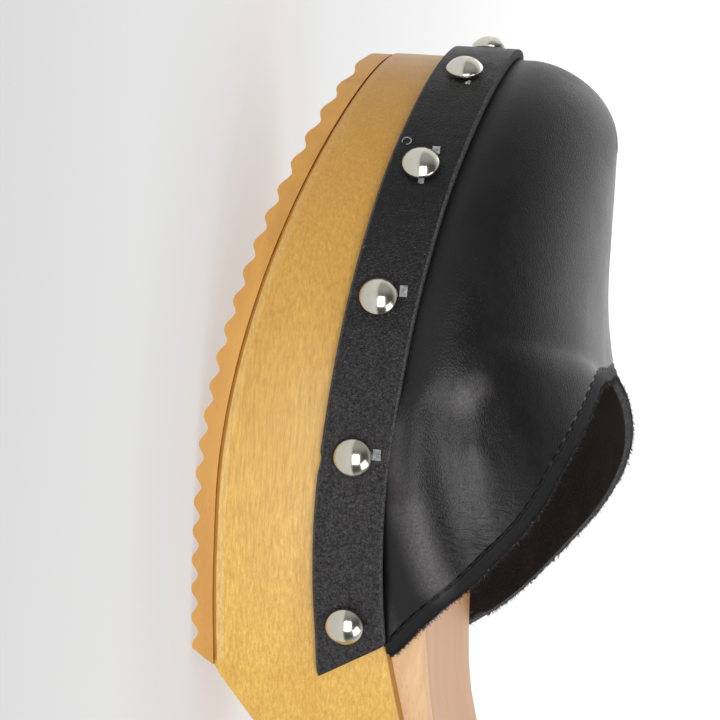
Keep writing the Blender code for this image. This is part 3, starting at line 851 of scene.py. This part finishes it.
class CLOG_OT_vamp(Operator):
    """Shape and finish the leather vamp, with its seam"""

    bl_idname = "clog.vamp"
    bl_label = "Vamp"

    def execute(self, context):
        look = context.scene.clog_look
        bm = copy_of("upper")
        self.mark_walls(bm)
        crease(bm, 50, 0.6)
        bm = subdivided(bm, 2)
        self.lower_margin(bm)
        top = max(throat_row(bm), key=lambda spot: spot.x)
        for vert in bm.verts:
            vert.co.x -= THROAT_BACK * MM * soft((vert.co - top).length, THROAT_REACH * MM)
        folds = [(w * MM, h * MM, [place(*spot) for spot in line]) for w, h, line in FOLDS]
        for vert in bm.verts:
            push = sum(h * soft(gap_to(vert.co, line), w) for w, h, line in folds)
            if push:
                vert.co += outward(vert.co) * push
        bm.normal_update()
        row = throat_row(bm)
        tree = search_tree(row)
        self.relax(bm, row, tree)
        self.paint(bm, row, tree)
        skin = BVHTree.FromPolygons(
            [vert.co.copy() for vert in bm.verts],
            [[vert.index for vert in face.verts] for face in bm.faces if face.material_index == 0],
        )
        materials = (vamp_leather(look), suede(look), cut_leather(look))
        piece("leather_vamp", bm, materials, ("upper",), 60)
        self.stitch(look, row, skin)
        self.fray(look, row)
        return {"FINISHED"}

    def relax(self, bm, row, tree):
        """Smooth the outer wall round the top of the throat, away from its cut edge."""
        top = max(row, key=lambda spot: spot.x)
        skin = []
        for vert in bm.verts:
            near = (vert.co - top).length < SMOOTH_REACH * MM
            if near and all(face.material_index == 0 for face in vert.link_faces):
                if tree.find(vert.co)[2] > SMOOTH_GAP * MM:
                    skin.append(vert)
        for _ in range(SMOOTH_ROUNDS):
            bmesh.ops.smooth_vert(
                bm, verts=skin, factor=0.5, use_axis_x=True, use_axis_y=True, use_axis_z=True
            )
        bm.normal_update()

    def lower_margin(self, bm):
        """Push the foot of the vamp out against the strip and down, so that no wood shows between."""
        middle = place(TOE_ROUND, 0.0, 0.0)
        for vert in bm.verts:
            foot = between(LEDGE, behind_tip(vert.co)) * MM
            share = soft(max(vert.co.z - foot, 0), MARGIN_REACH * MM)
            side = vert.co - middle
            side.x = max(side.x, 0)
            side.z = 0
            push = side.normalized() * MARGIN_OUT + Vector((0, 0, -MARGIN_DOWN))
            vert.co += push * MM * share

    def mark_walls(self, bm):
        """Number the faces: 0 on the outer wall, 1 on the inner wall and 2 on the cut edges."""
        for face in bm.faces:
            turns = [edge.calc_face_angle(0) > math.radians(50) for edge in face.edges]
            if sum(turns) > 1:
                face.material_index = 2
            elif face.normal.dot(outward(face.calc_center_median())) > 0:
                face.material_index = 0
            else:
                face.material_index = 1

    def paint(self, bm, row, tree):
        """Write how far each point is from the cut edge, how wrinkled it is, and how much lighter colour its
        fold takes, as rub and painted highlight.
        """
        gap = bm.verts.layers.float.new("cut_gap")
        wrinkled = bm.verts.layers.float.new("wrinkled")
        rubbed = bm.verts.layers.float.new("rubbed")
        rubs = [(w * MM, share, [place(*spot) for spot in line]) for w, share, line in RUBS_AND_HIGHLIGHTS]
        centre = place(*WRINKLES)
        for vert in bm.verts:
            number = tree.find(vert.co)[1]
            near = row[max(number - 1, 0) : number + 2]
            vert[gap] = gap_to(vert.co, near)
            vert[wrinkled] = soft((vert.co - centre).length, WRINKLE_REACH * MM)
            vert[rubbed] = max(share * soft(gap_to(vert.co, line), w) for w, share, line in rubs)

    def stitch(self, look, row, skin):
        """A row of stitches in the seam."""
        bm = bmesh.new()
        for spot, run in along(row, look.stitch_pitch):
            normal = skin.find_nearest(spot)[1]
            inside = run.cross(normal).normalized()
            if inside.x < 0:
                inside.negate()
            place_on, normal = skin.find_nearest(spot + inside * look.seam_gap)[:2]
            across = normal.cross(run).normalized()
            turn = Matrix((run, across, normal)).transposed().to_4x4()
            half = look.thread_width / 2
            size = Matrix.Diagonal((look.stitch_pitch * 0.4, half, half, 1))
            middle = Matrix.Translation(place_on - normal * look.thread_width * 0.15)
            bmesh.ops.create_uvsphere(bm, u_segments=8, v_segments=6, radius=1, matrix=middle @ turn @ size)
        piece("throat_stitches", bm, (thread(look),))

    def fray(self, look, row):
        """Dark fuzz and a few longer grey fibres along the cut edge."""
        dice = random.Random(7)
        spots = along(row, FUZZ_PITCH * MM)
        kinds = (
            ("edge_fuzz", look.fuzz, 1.15, fibre("black_fibre", look.leather, look.leather_worn)),
            ("loose_fibres", look.fibres, 1.0, fibre("grey_fibre", look.raw_edge, look.dust)),
        )
        for name, count, size, stuff in kinds:
            bm = bmesh.new()
            for _ in range(count):
                spot, run = dice.choice(spots)
                add_fibre(bm, dice, spot, run, size)
            piece(name, bm, (stuff,))


def add_fibre(bm, dice, spot, run, size):
    """One thin fibre that stands out of a cut edge."""
    length = dice.uniform(*FIBRE_LENGTHS) * size * MM
    if dice.random() < LONG_FIBRES:
        length *= 2
    width = dice.uniform(*FIBRE_WIDTHS) * MM
    lean = Vector([dice.gauss(0, 1) for _ in range(3)]).normalized()
    ahead = (lean + run * 0.3 + Vector((-0.5, 0, 0))).normalized()
    turn = ahead.to_track_quat("Z", "X").to_matrix().to_4x4()
    bmesh.ops.create_cone(
        bm,
        cap_ends=True,
        segments=3,
        radius1=width,
        radius2=width * 0.4,
        depth=length,
        matrix=Matrix.Translation(spot + ahead * length * 0.4) @ turn,
    )


class CLOG_OT_strip(Operator):
    """Shape and finish the nailed leather strip"""

    bl_idname = "clog.strip"
    bl_label = "Nailed strip"

    def execute(self, context):
        look = context.scene.clog_look
        bm = copy_of("nailed_strip")
        for face in bm.faces:
            face.material_index = 1 if abs(face.normal.z) > 0.6 else 0
        crease(bm, 30, 0.6)
        bm = subdivided(bm, 2)
        nails = [sum(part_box(node), Vector()) / 2 for node in NAILS]
        for vert in bm.verts:
            for nail in nails:
                self.press(vert, (vert.co - nail).length, DENT)
            side = vert.co - nails[1]
            if side.x < 0:
                self.press(vert, side.length, RING)
        bm.normal_update()
        self.fray(look, bm)
        materials = (strip_leather(look), cut_leather(look))
        piece("leather_strip", bm, materials, ("nailed_strip",), 60)
        return {"FINISHED"}

    def press(self, vert, gap, dent):
        """Press a point of the strip in, at a distance from a nail's middle."""
        depth, radius, width = (size * MM for size in dent)
        if gap < DENT_REACH * MM:
            vert.co -= vert.normal * depth * soft(abs(gap - radius), width)

    def fray(self, look, strip):
        """Loose fibres along the strip's cut edges."""
        dice = random.Random(11)
        spots = []
        for edge in strip.edges:
            if {face.material_index for face in edge.link_faces} == {0, 1}:
                one, two = (vert.co.copy() for vert in edge.verts)
                spots.append((one.lerp(two, 0.5), (two - one).normalized()))
        bm = bmesh.new()
        for _ in range(look.fibres // 2):
            spot, run = dice.choice(spots)
            add_fibre(bm, dice, spot, run, 0.6)
        stuff = fibre("strip_fibre", look.raw_edge, look.dust)
        piece("strip_fibres", bm, (stuff,))


class CLOG_OT_nails(Operator):
    """Turn the polished nail heads"""

    bl_idname = "clog.nails"
    bl_label = "Nail heads"

    def execute(self, context):
        look = context.scene.clog_look
        metal = nickel(look)
        for node in NAILS:
            self.head(node, metal)
        return {"FINISHED"}

    def head(self, node, metal):
        """One domed head in the place of the model's."""
        bm = bmesh.new()
        bm.from_mesh(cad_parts[node].data)
        bmesh.ops.remove_doubles(bm, verts=bm.verts, dist=MERGE)
        away = self.axis(bm)
        heights = [vert.co.dot(away) for vert in bm.verts]
        base = min(heights)
        rise = max(heights) - base
        ring = [vert.co for vert in bm.verts if vert.co.dot(away) < base + 0.05 * MM]
        middle = sum(ring, Vector()) / len(ring)
        radius = max((spot - middle).length for spot in ring)
        bm.free()
        bm = bmesh.new()
        profile = [bm.verts.new((0, 0, 0)), bm.verts.new((radius * 0.97, 0, 0))]
        dome = rise * (1 - RIM_SHARE)
        ball = (radius * radius + dome * dome) / (2 * dome)
        opening = math.asin(radius / ball)
        for k in range(DOME_STEPS + 1):
            angle = opening * (1 - k / DOME_STEPS)
            spot = (ball * math.sin(angle), 0, rise - ball + ball * math.cos(angle))
            profile.append(bm.verts.new(spot))
        edges = [bm.edges.new(pair) for pair in zip(profile, profile[1:])]
        bmesh.ops.spin(
            bm,
            geom=profile + edges,
            cent=(0, 0, 0),
            axis=(0, 0, 1),
            angle=2 * math.pi,
            steps=TURN_STEPS,
            use_merge=True,
        )
        bmesh.ops.remove_doubles(bm, verts=bm.verts, dist=MERGE)
        bmesh.ops.recalc_face_normals(bm, faces=bm.faces)
        turn = away.to_track_quat("Z", "X").to_matrix().to_4x4()
        bmesh.ops.transform(bm, matrix=Matrix.Translation(middle) @ turn, verts=bm.verts)
        piece(node.replace("nail", "nail_head"), bm, (metal,), (node,), 50)

    def axis(self, bm):
        """Direction in which the head stands out: against its flat back."""
        bmesh.ops.dissolve_limit(bm, angle_limit=math.radians(1), verts=bm.verts, edges=bm.edges)
        back = max(bm.faces, key=lambda face: face.calc_area())
        return -back.normal.copy()


class CLOG_OT_scraps(Operator):
    """Put the scraps of clear plastic round the nails"""

    bl_idname = "clog.scraps"
    bl_label = "Plastic scraps"

    def execute(self, context):
        look = context.scene.clog_look
        dice = random.Random(5)
        skin = BVHTree.FromObject(bpy.data.objects["leather_strip"], context.evaluated_depsgraph_get())
        bm = bmesh.new()
        for back, y, z, length, width in SCRAPS:
            turn = self.lie(skin, place(back, y, z))
            made = bmesh.ops.create_grid(bm, x_segments=3, y_segments=2, size=0.5, matrix=turn)
            middle = turn.translation
            facing = turn.to_3x3()
            out = facing.col[2].normalized()
            for vert in made["verts"]:
                side = facing.transposed() @ (vert.co - middle)
                flat = Vector((side.x * length * MM, side.y * width * MM, 0))
                vert.co = middle + facing @ flat + out * dice.uniform(0.1, 0.5) * MM
        self.curl(bm, skin)
        piece("plastic_scraps", bm, (clear_film(look),), (), 20)
        return {"FINISHED"}

    def lie(self, skin, spot):
        """Place on the strip next to a spot, with Z away from the leather."""
        on, normal = skin.find_nearest(spot)[:2]
        return Matrix.Translation(on) @ normal.to_track_quat("Z", "Y").to_matrix().to_4x4()

    def curl(self, bm, skin):
        """A curled shaving that lies flat on the strip."""
        turn = self.lie(skin, place(*CURL))
        start = Matrix.Translation((CURL_RADIUS * MM, 0, 0.3 * MM)) @ Matrix.Rotation(math.pi / 2, 4, "X")
        ring = bmesh.ops.create_circle(bm, segments=6, radius=CURL_SECTION * MM, matrix=turn @ start)
        edges = dict.fromkeys(edge for vert in ring["verts"] for edge in vert.link_edges)
        bmesh.ops.spin(
            bm,
            geom=ring["verts"] + list(edges),
            cent=turn.translation,
            axis=turn.to_3x3().col[2],
            angle=math.radians(CURL_ANGLE),
            steps=20,
        )


class CLOG_OT_stage(Operator):
    """Set the pale floor, which glows behind the shoe, the soft lights and the camera"""

    bl_idname = "clog.stage"
    bl_label = "Stage"

    def execute(self, context):
        scene = context.scene
        self.floor(scene)
        self.sky(scene)
        # Name, middle in metres, two sides and brightness of each light
        lights = (
            ("window", (-0.06, 1.28, 0.41), (1.2, 0.8), 4.0),
            ("overhead", (-0.5, 0.42, 1.04), (0.8, 0.7), 2.3),
            ("backdrop", (0.3, -1.3, 0.9), (2.0, 1.4), 1.0),
        )
        for name, spot, sides, brightness in lights:
            lamp = bpy.data.lights.new(name, "AREA")
            lamp.shape = "RECTANGLE"
            lamp.size, lamp.size_y = sides
            lamp.energy = brightness * math.pi * sides[0] * sides[1]
            holder = bpy.data.objects.new(name, lamp)
            holder.location = spot
            aim = Vector((0.12, 0.0, 0.04)) - Vector(spot)
            holder.rotation_euler = aim.to_track_quat("-Z", "Y").to_euler()
            scene.collection.objects.link(holder)
        self.camera(scene)
        return {"FINISHED"}

    def floor(self, scene):
        bm = bmesh.new()
        bmesh.ops.create_grid(bm, x_segments=1, y_segments=1, size=FLOOR_REACH)
        mesh = bpy.data.meshes.new("floor")
        bm.to_mesh(mesh)
        bm.free()
        paper, tree, shader, where = material("glowing_floor")
        away = add(tree, "ShaderNodeSeparateXYZ", {0: where}).outputs["Y"]
        front = span(tree, away, 0.12, 0.9, 1.0, 0.1)
        paper_grey = mix(tree, noise(tree, where, 3.0), (0.29, 0.29, 0.293), (0.32, 0.32, 0.32))
        base = mix(tree, front, (0.02, 0.02, 0.02), paper_grey)
        tree.links.new(base, shader.inputs["Base Color"])
        # The floor glows, more the further behind the shoe: painted light that keeps it pale and thins the
        # shoe's shadow on it
        behind = span(tree, away, 0.1, -1.2, 0.5, 0.9)
        glow = sums(tree, "MULTIPLY", behind, front)
        shader.inputs["Emission Strength"].default_value = 1.0
        tree.links.new(mix(tree, glow, (0, 0, 0), (1, 1, 1)), shader.inputs["Emission Color"])
        shader.inputs["Roughness"].default_value = 0.9
        shader.inputs["Specular IOR Level"].default_value = 0.1
        mesh.materials.append(paper)
        floor = bpy.data.objects.new("floor", mesh)
        scene.collection.objects.link(floor)

    def sky(self, scene):
        """Even light, much weaker from the camera's side."""
        world = bpy.data.worlds.new("studio")
        scene.world = world
        world.use_nodes = True
        tree = world.node_tree
        where = tree.nodes.new("ShaderNodeTexCoord").outputs["Generated"]
        sides = add(tree, "ShaderNodeSeparateXYZ", {0: where}).outputs
        behind = span(tree, sides["Y"], -0.4, 0.25, 0.85, 0.08)
        shade = sums(tree, "MAXIMUM", behind, span(tree, sides["X"], 0.3, 0.8, 0.08, 0.4))
        tree.links.new(shade, tree.nodes["Background"].inputs["Strength"])
        tree.nodes["Background"].inputs["Color"].default_value = (1, 1, 1, 1)

    def camera(self, scene):
        """The camera of the picture, turned so that the toe points up."""
        swing, rise, roll = (math.radians(value) for value in (SWING, RISE, ROLL))
        back = Vector((math.sin(swing) * math.cos(rise), math.cos(swing) * math.cos(rise), math.sin(rise)))
        up = (Vector((0, 0, 1)) - back.z * back).normalized()
        ahead = -up.cross(back)
        top = math.cos(roll) * ahead + math.sin(roll) * up
        right = -math.sin(roll) * ahead + math.cos(roll) * up
        lens = bpy.data.cameras.new("camera")
        lens.lens = LENS
        lens.sensor_width = SENSOR
        lens.clip_start = 0.01
        lens.clip_end = 100
        camera = bpy.data.objects.new("camera", lens)
        turn = Matrix((right, top, back)).transposed().to_4x4()
        camera.matrix_world = Matrix.Translation((Vector(TARGET) + back * DISTANCE) * MM) @ turn
        scene.collection.objects.link(camera)
        scene.camera = camera
        scene.view_settings.view_transform = "Standard"


class CLOG_PT_panel(Panel):
    """The pieces of the clog and their finish"""

    bl_idname = "CLOG_PT_panel"
    bl_label = "Clog"
    bl_space_type = "VIEW_3D"
    bl_region_type = "UI"
    bl_category = "Clog"

    def draw(self, context):
        look = context.scene.clog_look
        for name in look.bl_rna.properties.keys():
            if name not in ("rna_type", "name"):
                self.layout.prop(look, name)
        for operator in OPERATORS:
            self.layout.operator(operator.bl_idname)


OPERATORS = (
    CLOG_OT_wood,
    CLOG_OT_treads,
    CLOG_OT_vamp,
    CLOG_OT_strip,
    CLOG_OT_nails,
    CLOG_OT_scraps,
    CLOG_OT_stage,
)
CLASSES = (ClogLook, *OPERATORS, CLOG_PT_panel)


def register():
    for one in CLASSES:
        bpy.utils.register_class(one)
    bpy.types.Scene.clog_look = PointerProperty(type=ClogLook)


def unregister():
    del bpy.types.Scene.clog_look
    for one in reversed(CLASSES):
        bpy.utils.unregister_class(one)


def main():
    register()
    leather_grain()
    wood_grain()
    wear_marks()
    bpy.ops.clog.wood()
    bpy.ops.clog.treads()
    bpy.ops.clog.vamp()
    bpy.ops.clog.strip()
    bpy.ops.clog.nails()
    bpy.ops.clog.scraps()
    bpy.ops.clog.stage()


if __name__ == "__main__":
    main()
